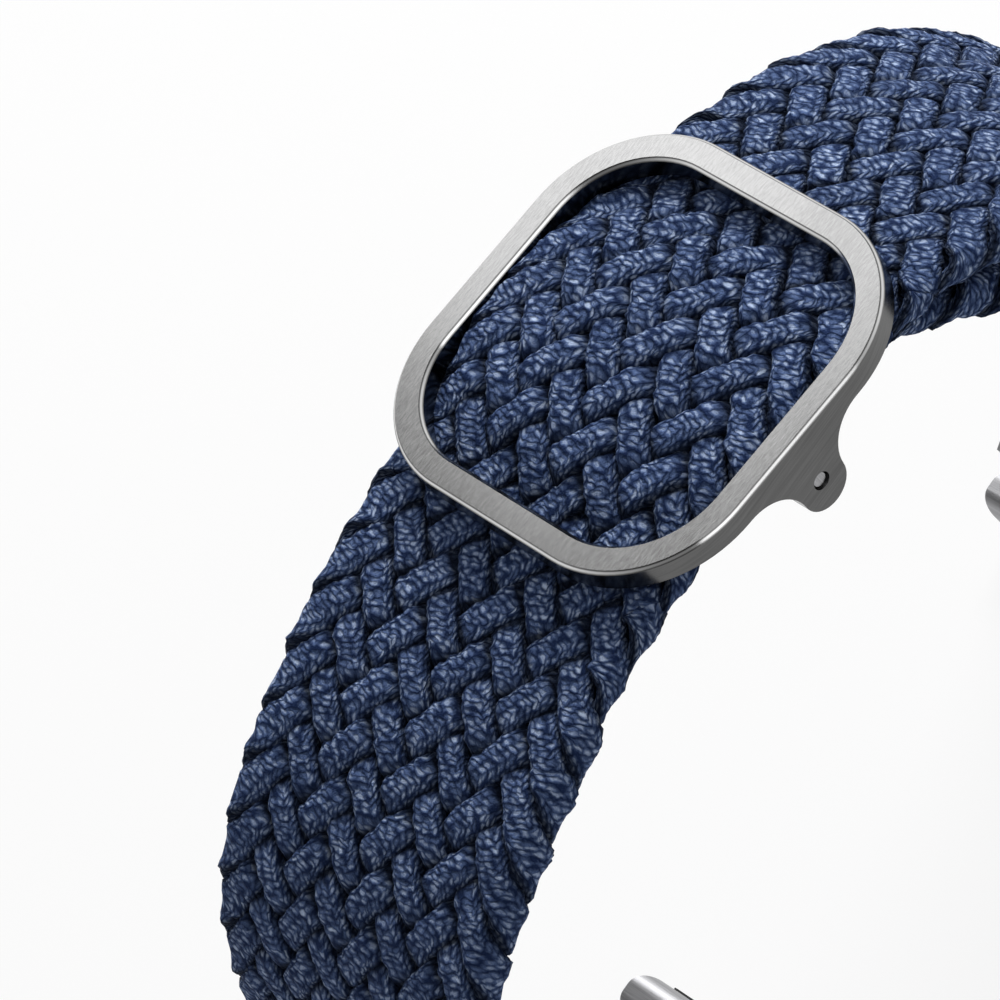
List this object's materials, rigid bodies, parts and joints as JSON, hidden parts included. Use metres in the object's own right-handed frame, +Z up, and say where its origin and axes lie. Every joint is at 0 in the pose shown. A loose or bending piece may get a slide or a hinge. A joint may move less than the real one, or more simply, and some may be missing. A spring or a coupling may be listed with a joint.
{
  "type": "watch strap",
  "caption": "Woven elastic watch strap in one loop, with a flat rounded-square slide buckle and two slide-in lug adapters with sprung latches.",
  "frame": {"origin": "on the surface that the two adapters stand on, under the middle of the loop", "axes": "+Z up to the buckle, +X along the loop from the sewn end (adapter A) to the turned end (adapter B), +Y across the band, away from the viewer of the picture"},
  "size_m": [0.0744, 0.0268, 0.0554],
  "materials": {
    "braid": "tight braid of textured yarn in two blues",
    "thread": "twisted sewing thread",
    "brushed_steel": "fine straight brushing with a polished bevel",
    "polished_steel": "polished",
    "soft_pad": "matt moulded rubber"
  },
  "bodies": {
    "strap": {"strap_main": "braid", "strap_return": "braid", "stitching_end": "thread"},
    "buckle": {"buckle_ring": "brushed_steel", "cross_pin": "polished_steel", "strap_tail": "braid", "stitching_tail": "thread"},
    "adapter_a": {"adapter_a_body": "brushed_steel", "adapter_a_bar": "polished_steel", "adapter_a_screws": "polished_steel", "adapter_a_spring": "polished_steel", "adapter_a_cover": "brushed_steel", "adapter_a_cover_screws": "polished_steel", "adapter_a_pads": "soft_pad"},
    "latch_a": {"adapter_a_latch": "polished_steel"},
    "adapter_b": {"adapter_b_body": "brushed_steel", "adapter_b_bar": "polished_steel", "adapter_b_screws": "polished_steel", "adapter_b_spring": "polished_steel", "adapter_b_cover": "brushed_steel", "adapter_b_cover_screws": "polished_steel", "adapter_b_pads": "soft_pad"},
    "latch_b": {"adapter_b_latch": "polished_steel"}
  },
  "joints": [
    {"name": "buckle_slide", "type": "hinge", "parent": "strap", "child": "buckle", "pos_m": [0, 0, -0.0035], "axis": [0, 1, 0], "range_deg": [-14, 6], "deforming": ["strap_return"]},
    {"name": "adapter_a_pivot", "type": "hinge", "parent": "strap", "child": "adapter_a", "pos_m": [-0.0272, 0, 0.0058], "axis": [0, 1, 0], "range_deg": [-60, 60]},
    {"name": "adapter_b_pivot", "type": "hinge", "parent": "strap", "child": "adapter_b", "pos_m": [0.0238, 0, 0.0058], "axis": [0, 1, 0], "range_deg": [-60, 60]},
    {"name": "latch_a_press", "type": "slide", "parent": "adapter_a", "child": "latch_a", "axis": [-1, 0, 0], "range_m": [0, 0.0006], "stiffness_N_per_m": 300, "deforming": ["adapter_a_spring"]},
    {"name": "latch_b_press", "type": "slide", "parent": "adapter_b", "child": "latch_b", "axis": [1, 0, 0], "range_m": [0, 0.0006], "stiffness_N_per_m": 300, "deforming": ["adapter_b_spring"]}
  ]
}
